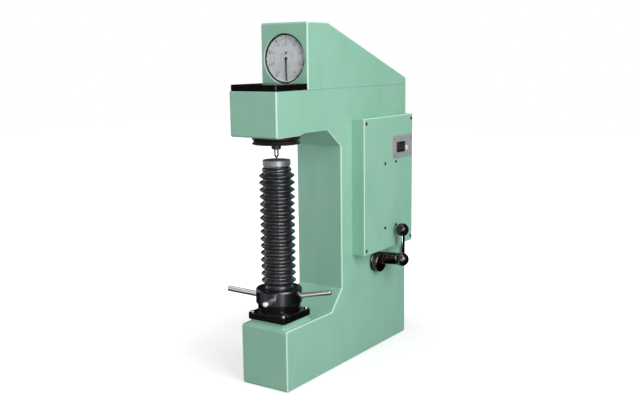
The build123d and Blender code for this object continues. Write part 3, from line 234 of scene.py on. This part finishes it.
def brownedSteel():
    look = {
        "colour": (0.11, 0.082, 0.078, 1),
        "rubbedAndSheen": (0.42, 0.33, 0.315, 1),
        "oil": (0.014, 0.009, 0.009, 1),
        "edgeRadius": 0.0012,
    }
    paint = Finish("brownedSteel", Metallic=1.0)
    handled = paint.ramp(paint.noise(0.02, 5), [(0.42, 0), (0.8, 0.5)])
    colour = paint.mix(handled, look["colour"], look["rubbedAndSheen"])
    oily = paint.ramp(paint.noise(0.009, 4), [(0.5, 0), (0.8, 0.7)])
    colour = paint.mix(oily, colour, look["oil"])
    # painted highlight: edges are mixed towards the lighter rubbed colour
    colour = paint.mix(paint.edges(look["edgeRadius"]) * 0.5, colour, look["rubbedAndSheen"])
    paint.wear(Base_Color=colour, Roughness=0.2 + 0.12 * paint.noise(0.008, 4))
    paint.bump(paint.noise(0.0008, 3), 0.00004, 0.35, 0.0008)
    return paint.material


def blackOxide():
    look = {
        "colour": (0.055, 0.046, 0.045, 1),
        "rubbedAndSheen": (0.2, 0.175, 0.168, 1),
        "edge": (0.3, 0.29, 0.29, 1),
        "edgeRadius": 0.0008,
    }
    paint = Finish("blackOxide", Metallic=0.8, IOR=1.6)
    rings = paint.noise(0.001, 2, (0.02, 0.02, 1))
    handled = paint.ramp(paint.noise(0.012, 5), [(0.5, 0), (0.8, 0.35)])
    colour = paint.mix(handled, look["colour"], look["rubbedAndSheen"])
    # painted highlight: edges are mixed towards a lighter grey
    colour = paint.mix(paint.edges(look["edgeRadius"]) * 0.7, colour, look["edge"])
    paint.wear(Base_Color=colour, Roughness=0.3 + 0.18 * rings)
    paint.bump(rings, 0.00003, 0.4, 0.0006)
    return paint.material


def metal(name, colour, rough, stretch=(1, 1, 1), fine=0.0006, spots=0.25, metallic=1.0, relief=0.3):
    shade = (*[c * 0.5 for c in colour[:3]], 1)
    paint = Finish(name, Metallic=metallic)
    brushed = paint.noise(fine, 3, stretch)
    clouds = paint.ramp(paint.noise(0.03, 5), [(0.45, 0), (0.85, spots)])
    paint.wear(Base_Color=paint.mix(clouds, colour, shade), Roughness=rough * 0.7 + rough * 0.6 * brushed)
    paint.bump(brushed, 0.00001, relief, 0.0004)
    return paint.material


def screwThread():
    look = {"pitch": 0.008, "colour": (0.52, 0.52, 0.53, 1), "oil": (0.12, 0.1, 0.07, 1), "depth": 0.0016}
    paint = Finish("screwThread", Metallic=1.0)
    x, y, z = paint.axes()
    turn = x.maths("ARCTAN2", y, x) / (2 * pi)
    along = z / look["pitch"] - turn
    phase = along.maths("FRACT", along)
    crest = paint.ramp(1 - (phase * 2 - 1).size(), [(0.25, 0), (0.6, 1)])
    colour = paint.mix(crest, look["oil"], look["colour"])
    paint.wear(Base_Color=colour, Roughness=0.24 + 0.2 * paint.noise(0.004, 3))
    paint.bump(crest, look["depth"], 0.6)
    return paint.material


def rubber():
    look = {"colour": (0.008, 0.009, 0.0115, 1), "dust": (0.05, 0.057, 0.07, 1), "grain": 0.0009}
    paint = Finish("bellowsRubber", IOR=1.6, Coat_Weight=0.7, Coat_Roughness=0.2, Coat_IOR=1.6)
    dust = paint.ramp(paint.noise(0.02, 6, (1, 1, 2.5)), [(0.42, 0), (0.8, 0.6)])
    colour = paint.mix(dust, look["colour"], look["dust"])
    paint.wear(Base_Color=colour, Roughness=0.34 + 0.16 * paint.noise(0.012, 4))
    paint.bump(paint.noise(look["grain"], 3), 0.0001, 0.5)
    return paint.material


def plastic(name, colour, rough, speckle=0.12):
    paint = Finish(name, IOR=1.5, Coat_Weight=0.2, Coat_Roughness=0.08)
    lighter = (*[min(1, c * 1.6 + 0.01) for c in colour[:3]], 1)
    clouds = paint.ramp(paint.noise(0.006, 5), [(0.5, 0), (0.9, speckle * 3)])
    paint.wear(Base_Color=paint.mix(clouds, colour, lighter), Roughness=rough + 0.1 * paint.noise(0.004, 3))
    paint.bump(paint.noise(0.0007, 2), 0.00003, 0.25, 0.0003)
    return paint.material


def clearGlass():
    look = {"clear": 0.04, "smear": 0.04, "tint": (0.03, 0.04, 0.045, 1)}
    paint = Finish("dialGlass", IOR=1.5, Base_Color=look["tint"], Coat_Weight=1.0, Coat_Roughness=0.02)
    smear = paint.ramp(paint.noise(0.02, 5), [(0.45, 0), (0.8, 1)])
    paint.wear(Roughness=0.02 + 0.05 * smear, Alpha=look["clear"] + look["smear"] * smear)
    return paint.material


def dialWhite():
    look = {"colour": (0.92, 0.96, 0.98, 1), "aged": (0.84, 0.89, 0.93, 1)}
    paint = Finish("dialWhite")
    clouds = paint.ramp(paint.noise(0.018, 4), [(0.4, 0), (0.85, 0.8)])
    colour = paint.mix(clouds, look["colour"], look["aged"])
    paint.wear(Base_Color=colour, Roughness=0.4 + 0.15 * paint.noise(0.003, 3))
    paint.bump(paint.noise(0.0005, 2), 0.00002, 0.2)
    return paint.material


def ink(name, colour):
    paint = Finish(name)
    faded = (*[c * 0.7 + 0.09 for c in colour[:3]], 1)
    clouds = paint.ramp(paint.noise(0.002, 4), [(0.5, 0), (0.85, 0.6)])
    paint.wear(Base_Color=paint.mix(clouds, colour, faded), Roughness=0.5 + 0.1 * paint.noise(0.001, 2))
    return paint.material


finishes = {
    "mint_paint": mintPaint(),
    "black_enamel": blackEnamel(),
    "black_oxide": blackOxide(),
    "bright_steel": metal("brightSteel", (0.62, 0.62, 0.63, 1), 0.28),
    "hard_steel": metal("hardSteel", (0.5, 0.5, 0.52, 1), 0.3, fine=0.0004, stretch=(1, 1, 0.1)),
    "chrome": metal("chrome", (0.86, 0.86, 0.87, 1), 0.09, fine=0.002, spots=0.1, relief=0.03),
    "bronze": metal("bronze", (0.62, 0.44, 0.2, 1), 0.35),
    "bellows_rubber": rubber(),
    "cast_lever": metal("castLever", (0.22, 0.22, 0.225, 1), 0.6, fine=0.002),
    "aluminium_plate": metal("aluminiumPlate", (0.54, 0.55, 0.555, 1), 0.42, (1, 1, 0.06), metallic=0.35),
    "black_plastic": plastic("blackPlastic", (0.012, 0.012, 0.013, 1), 0.2),
    "rocker_plastic": plastic("rockerPlastic", (0.03, 0.03, 0.033, 1), 0.16),
    "lamp_lens": plastic("lampLens", (0.72, 0.72, 0.68, 1), 0.1),
    "knob_plastic": plastic("knobPlastic", (0.008, 0.007, 0.008, 1), 0.1, 0.05),
    "dial_glass": clearGlass(),
    "dial_white": dialWhite(),
    "pointer_black": ink("pointerBlack", (0.008, 0.008, 0.009, 1)),
    "transformer": metal("transformer", (0.2, 0.15, 0.1, 1), 0.5),
}
special = {  # nodes with a finish of their own
    "elevating_screw": screwThread(),
    "anvil": metal("anvilSteel", (0.33, 0.34, 0.37, 1), 0.38, (1, 1, 0.08), 0.0005, metallic=0.7),
    "handwheel_hub": metal("hubSteel", (0.13, 0.13, 0.15, 1), 0.3, spots=0.4),
    "dial_bezel": metal("bezelDark", (0.14, 0.135, 0.14, 1), 0.1, fine=0.002, spots=0.1, relief=0.03),
}
special.update(dict.fromkeys(("crank_arm", "handle_bush"), brownedSteel()))
rods = [name for name in nodes if name.startswith("capstan_rod_")]
special.update(dict.fromkeys(rods, metal("rodSteel", (0.92, 0.92, 0.93, 1), 0.34, relief=0)))
for subpart in frame["record"]["subparts"]:
    mesh = nodes[subpart["node"]].data
    mesh.materials.clear()
    mesh.materials.append(special.get(subpart["node"], finishes[subpart["material_slot"]]))
print("finishes set:", len(finishes))


def finishPiece(name, shape, body, material, smooth=True):
    bmesh.ops.remove_doubles(shape, verts=shape.verts, dist=mergeWithin)
    bmesh.ops.recalc_face_normals(shape, faces=shape.faces)
    mesh = bpy.data.meshes.new(name)
    shape.to_mesh(mesh)
    shape.free()
    piece = bpy.data.objects.new(name, mesh)
    bpy.context.collection.objects.link(piece)
    mesh.materials.append(material)
    if smooth:
        mesh.shade_smooth()
    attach(piece, body)
    return piece


def spun(points, axis, centre, steps=96):
    shape = bmesh.new()
    verts = [shape.verts.new(point) for point in points]
    edges = [shape.edges.new(pair) for pair in zip(verts, verts[1:])]
    whole = {"angle": 2 * pi, "steps": steps, "use_merge": True}
    bmesh.ops.spin(shape, geom=verts + edges, cent=centre, axis=axis, **whole)
    return shape


def makeBellows():
    settings = {
        "folds": 16,
        "crest": 0.0482,
        "root": 0.0365,
        "topCrest": 0.0402,
        "topFold": 0.0125,
        "bore": 0.0335,
        "foot": 0.0122,
        "footRing": 0.0032,
        "footRadius": 0.0395,
        "footChamfer": 0.0006,
        "foldSide": ((0.16, 0.30), (0.30, 0.68), (0.41, 0.93)),
        "foldStep": 0.0003,
        "footStep": 0.0004,
        "topShape": ((0.25, 0.7), (0.5, 1.0), (0.75, 0.7)),
        "crestDraw": (-0.0007, 0.0004),
        "liftDraw": (-0.0006, 0.0006),
        "rootDraw": (-0.0004, 0.0004),
        "wobble": 0.0009,
        "dent": 0.006,
        "stillFoot": 0.004,
        "stillTop": 0.002,
        "travel": 0.240,
        "gap": 0.0001,
    }
    low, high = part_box("bellows")
    bottom, top = low[2] + settings["gap"], high[2] - settings["gap"]
    start, last = bottom + settings["foot"], top - settings["topFold"]
    pitch = (last - start) / settings["folds"]
    rising = settings["foldSide"]
    foldShape = [*rising, (0.5, 1.0), *((round(1 - share, 2), reach) for share, reach in reversed(rising))]
    draw = random.Random(7)
    ringTop = bottom + settings["footRing"]
    outline = [(settings["footRadius"], bottom), (settings["footRadius"], ringTop - settings["footChamfer"])]
    outline.append((settings["footRadius"] - settings["footChamfer"], ringTop))
    outline.append((settings["root"], ringTop + settings["footStep"]))
    for fold in range(settings["folds"]):
        foot = start + fold * pitch
        crest = settings["crest"] + draw.uniform(*settings["crestDraw"])
        lift = draw.uniform(*settings["liftDraw"])
        root = settings["root"] + draw.uniform(*settings["rootDraw"])
        outline.append((root, foot + settings["foldStep"]))
        for share, reach in foldShape:
            outline.append((root + (crest - root) * reach, foot + share * pitch + lift * reach))
    outline.append((settings["root"], last))
    for share, reach in settings["topShape"]:
        radius = settings["root"] + (settings["topCrest"] - settings["root"]) * reach
        outline.append((radius, last + share * settings["topFold"]))
    outline.append((settings["root"], top))
    outline.append((settings["bore"], top))
    outline.append((settings["bore"], bottom))
    outline.append(outline[0])
    shape = spun([(r, 0, z) for r, z in outline], (0, 0, 1), (0, 0, 0))
    bmesh.ops.remove_doubles(shape, verts=shape.verts, dist=mergeWithin)
    tilts = [(draw.uniform(0, 2 * pi), draw.uniform(0.3, 1)) for fold in range(settings["folds"] + 2)]
    for vert in shape.verts:
        fold = int(max(0, (vert.co.z - start) / pitch))
        heading, size = tilts[min(fold, settings["folds"])]
        radius = vert.co.xy.length
        reach = max(0, (radius - settings["root"]) / (settings["crest"] - settings["root"]))
        toward = cos(vert.co.to_2d().angle_signed(Vector((cos(heading), sin(heading)))))
        if reach > 0 and start + settings["stillFoot"] < vert.co.z < last - settings["stillTop"]:
            vert.co.z += settings["wobble"] * size * toward * reach
            vert.co.xy *= 1 - settings["dent"] * size * (1 + toward) * reach
    piece = finishPiece("rubberBellows", shape, "frame", finishes["bellows_rubber"])
    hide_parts("bellows")
    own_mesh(piece)


makeBellows()
print("bellows made")


def dialSpot(radius, clock, face):  # clock in degrees from the top, clockwise from the front
    low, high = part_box("dial_scale")
    middle = (low[2] + high[2]) / 2
    return Vector((radius * sin(radians(clock)), face, middle + radius * cos(radians(clock))))


def addWords(shape, words, size, place, clock, thick=0.00006):
    curve = bpy.data.curves.new("words", "FONT")
    curve.body = words
    curve.size = size
    curve.align_x = "CENTER"
    curve.align_y = "CENTER"
    curve.extrude = thick
    holder = bpy.data.objects.new("words", curve)
    bpy.context.collection.objects.link(holder)
    bpy.context.view_layer.update()
    mesh = bpy.data.meshes.new_from_object(holder.evaluated_get(bpy.context.evaluated_depsgraph_get()))
    turned = Matrix.Rotation(radians(clock), 4, "Y") @ Matrix.Rotation(pi / 2, 4, "X")
    mesh.transform(Matrix.Translation(place) @ turned)
    shape.from_mesh(mesh)
    bpy.data.objects.remove(holder)
    bpy.data.meshes.remove(mesh)


def addTick(shape, inner, outer, width, clock, face, thick=0.0001):
    length = outer - inner
    spin = Matrix.Rotation(radians(clock), 4, "Y")
    move = Matrix.Translation(dialSpot((inner + outer) / 2, clock, face))
    bmesh.ops.create_cube(shape, size=1, matrix=move @ spin @ Matrix.Diagonal((width, thick, length, 1)))


def makeCircle(radius, width, face):
    ends = [dialSpot(radius + side, 0, face) for side in (-width / 2, width / 2)]
    return spun(ends, (0, 1, 0), dialSpot(0, 0, face))


def makeDialMarks():
    settings = {
        "outerNumbers": 0.0565,
        "innerNumbers": 0.0440,
        "numberSize": 0.0086,
        "smallSize": 0.0068,
        "ticksFrom": 0.0485,
        "ticksTo": 0.0526,
        "letters": 0.0362,
        "letterTurn": -16,
        "shortTick": 0.002,
        "halfTick": 0.0012,
        "majorWidth": 0.0005,
        "minorWidth": 0.00026,
        "fineWidth": 0.00025,
        "centreRing": 0.0192,
        "centreWidth": 0.0005,
        "gap": 0.00005,
    }
    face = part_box("dial_scale")[0][1] - settings["gap"]
    black = ink("dialInk", (0.008, 0.008, 0.02, 1))
    red = ink("dialRed", (0.20, 0.01, 0.03, 1))
    pale = ink("dialGrey", (0.22, 0.24, 0.28, 1))
    outer, inner = bmesh.new(), bmesh.new()
    small = settings["smallSize"]
    for tens in range(10):
        clock = tens * 36
        outerSpot = dialSpot(settings["outerNumbers"], clock, face)
        addWords(outer, str(tens * 10), settings["numberSize"], outerSpot, clock)
        innerSpot = dialSpot(settings["innerNumbers"], clock, face)
        addWords(inner, str((tens * 10 + 29) % 100 + 1), small, innerSpot, clock)
    addWords(outer, "C", small, dialSpot(settings["letters"], settings["letterTurn"], face), 0)
    addWords(inner, "B", small, dialSpot(settings["letters"], 0, face), 0)
    for mark in range(100):
        major = mark % 10 == 0
        shorter = 0 if major else settings["halfTick"] if mark % 5 == 0 else settings["shortTick"]
        width = settings["majorWidth"] if major else settings["minorWidth"]
        addTick(outer, settings["ticksFrom"] + shorter, settings["ticksTo"], width, mark * 3.6, face)
    fine = makeCircle(settings["ticksTo"], settings["fineWidth"], face)
    finishPiece("dialBlackMarks", outer, "bezel", black, smooth=False)
    finishPiece("dialRedMarks", inner, "bezel", red, smooth=False)
    finishPiece("dialFineRing", fine, "bezel", pale, smooth=False)
    centre = makeCircle(settings["centreRing"], settings["centreWidth"], face)
    finishPiece("dialCentreRing", centre, "frame", pale, smooth=False)
    print("dial marks made, face at", round(face, 4))


def makeReflector():
    settings = {"outer": 0.06285, "inner": 0.0618, "gap": 0.00005}
    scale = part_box("dial_scale")[0][1] - settings["gap"]
    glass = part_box("dial_glass")[1][1] + settings["gap"]
    outer, inner = settings["outer"], settings["inner"]
    points = [(outer, glass), (outer, scale), (inner, scale), (inner, glass), (outer, glass)]
    centre = dialSpot(0, 0, 0)
    shape = spun([(r, y, centre.z) for r, y in points], (0, 1, 0), centre)
    piece = finishPiece("dialReflector", shape, "bezel", finishes["chrome"])
    bevelEdges(piece)


def bevelEdges(piece, width=0.0002, segments=2):
    rounding = piece.modifiers.new("rounding", "BEVEL")
    rounding.width = width
    rounding.segments = segments
    rounding.limit_method = "ANGLE"


makeDialMarks()
makeReflector()


def makeCamera():
    settings = {
        "lens": 49.09,
        "sensor": 36,
        "place": (1.40296, -1.85830, 0.88593),
        "heading": 0.5972754,
        "height": 0.1703599,
        "roll": -0.0111463,
    }
    heading, height, roll = settings["heading"], settings["height"], settings["roll"]
    back = Vector((sin(heading) * cos(height), -cos(heading) * cos(height), sin(height)))
    right = Vector((cos(heading), sin(heading), 0))
    above = back.cross(right)
    rolledRight = right * cos(roll) + above * sin(roll)
    rolledAbove = above * cos(roll) - right * sin(roll)
    turned = Matrix((rolledRight, rolledAbove, back)).transposed()
    camera = bpy.data.objects.new("camera", bpy.data.cameras.new("camera"))
    camera.data.lens = settings["lens"]
    camera.data.sensor_width = settings["sensor"]
    camera.matrix_world = Matrix.Translation(settings["place"]) @ turned.to_4x4()
    bpy.context.collection.objects.link(camera)
    bpy.context.scene.camera = camera


class Stage(Finish):  # the same helpers on a studio surface or the world
    def __init__(self, tree, shader):
        self.tree = tree
        self.shader = tree.nodes[shader]

    def ray(self, kind):
        path = self.tree.nodes.new("ShaderNodeLightPath")
        return Wire(self, path.outputs[kind])


def makeFloor():
    settings = {"half": 8.0, "drop": 0.0006, "shade": 0.6, "glow": 0.55, "whiteFrom": 0.35, "whiteTo": 1.0}
    shape = bmesh.new()
    below = Matrix.Translation((0, 0, -settings["drop"]))
    bmesh.ops.create_grid(shape, x_segments=1, y_segments=1, size=settings["half"], matrix=below)
    mesh = bpy.data.meshes.new("floor")
    shape.to_mesh(mesh)
    shape.free()
    floor = bpy.data.objects.new("floor", mesh)
    bpy.context.collection.objects.link(floor)
    material = bpy.data.materials.new("floorPaper")
    material.use_nodes = True
    paint = Stage(material.node_tree, "Principled BSDF")
    paint.wear(Base_Color=grey(settings["shade"]), Roughness=0.9, Specular_IOR_Level=0.0)
    paint.wear(Emission_Color=grey(1))
    x, y, z = paint.axes()
    away = (x * x + (y - middle[1]) * (y - middle[1])) ** 0.5
    camera = paint.ray("Is Camera Ray")
    seen = camera.maths("MAXIMUM", camera, paint.ray("Is Transmission Ray"))
    glow = settings["glow"] + (1 - settings["glow"]) * away.step(settings["whiteFrom"], settings["whiteTo"])
    paint.wear(Emission_Strength=seen * glow)
    dark = paint.tree.nodes.new("ShaderNodeEmission")
    dark.inputs["Strength"].default_value = 0
    blend = paint.tree.nodes.new("ShaderNodeMixShader")
    paint.feed(blend.inputs[0], paint.ray("Is Glossy Ray"))
    paint.tree.links.new(paint.shader.outputs[0], blend.inputs[1])
    paint.tree.links.new(dark.outputs[0], blend.inputs[2])
    paint.tree.links.new(blend.outputs[0], paint.tree.nodes["Material Output"].inputs[0])
    mesh.materials.append(material)


def makeWorld():
    settings = {"ambient": 0.26, "reflected": 0.02}
    world = bpy.data.worlds.new("studio")
    bpy.context.scene.world = world
    world.use_nodes = True
    sky = Stage(world.node_tree, "Background")
    glossy = sky.ray("Is Glossy Ray")
    seen = glossy.maths("MAXIMUM", sky.ray("Is Camera Ray"), sky.ray("Is Transmission Ray"))
    unseen = glossy * settings["reflected"] + (1 - glossy) * settings["ambient"]
    sky.wear(Strength=seen + (1 - seen) * unseen, Color=grey(1))


def around(heading, height, distance, centre):  # degrees from the front, towards the handle's side
    turn, rise = radians(heading), radians(height)
    return Vector(centre) + distance * Vector((sin(turn) * cos(rise), -cos(turn) * cos(rise), sin(rise)))


def aimed(place, aim):
    turned = (Vector(aim) - Vector(place)).to_track_quat("-Z", "Y")
    return Matrix.Translation(place) @ turned.to_matrix().to_4x4()


def addLight(name, place, aim, wide, tall, power, mirrored=True):
    lamp = bpy.data.lights.new(name, "AREA")
    lamp.shape = "RECTANGLE"
    lamp.size = wide
    lamp.size_y = tall
    lamp.energy = power
    holder = bpy.data.objects.new(name, lamp)
    holder.matrix_world = aimed(place, aim)
    holder.visible_glossy = mirrored
    bpy.context.collection.objects.link(holder)


def addCard(name, place, aim, wide, tall, strength):  # a white card that only reflections see
    shape = bmesh.new()
    stretched = aimed(place, aim) @ Matrix.Diagonal((wide, tall, 1, 1))
    bmesh.ops.create_grid(shape, x_segments=1, y_segments=1, size=0.5, matrix=stretched)
    mesh = bpy.data.meshes.new(name)
    shape.to_mesh(mesh)
    shape.free()
    card = bpy.data.objects.new(name, mesh)
    bpy.context.collection.objects.link(card)
    material = bpy.data.materials.new(name)
    material.use_nodes = True
    paint = Stage(material.node_tree, "Principled BSDF")
    paint.wear(Base_Color=grey(0), Specular_IOR_Level=0, Emission_Color=grey(1), Emission_Strength=strength)
    mesh.materials.append(material)
    card.visible_camera = card.visible_diffuse = card.visible_shadow = card.visible_transmission = False


def makeLights():
    low, lower = (0, 0, 0.46), (0, 0, 0.22)
    side, front = around(66, 24, 2.8, middle), around(-25, 20, 2.8, middle)
    addLight("sideSoftbox", side, middle, wide=1.6, tall=2.2, power=58)
    addLight("frontSoftbox", front, middle, wide=1.2, tall=1.6, power=9, mirrored=False)
    addLight("topSoftbox", (0.1, 0.0, 3.2), middle, wide=1.8, tall=1.8, power=30)
    addCard("leftCard", around(-85, 8, 2.2, middle), middle, wide=1.2, tall=2.4, strength=1.0)
    addCard("frontCard", around(14, 0, 1.25, low), low, wide=0.8, tall=0.86, strength=1.1)
    addCard("lowLeftCard", around(-38, 0, 1.25, lower), lower, wide=1.2, tall=0.42, strength=1.3)
    addCard("narrowCard", around(51, 0, 1.25, low), low, wide=0.2, tall=0.86, strength=9.0)
    addCard("topCard", (0.0, 0.1, 2.6), middle, wide=1.0, tall=1.0, strength=0.9)


middle = (0, 0.24, 0.5)  # the tester's middle, at which the studio aims
makeCamera()
makeFloor()
makeWorld()
makeLights()
bpy.context.scene.view_settings.view_transform = "Standard"
print("studio set")
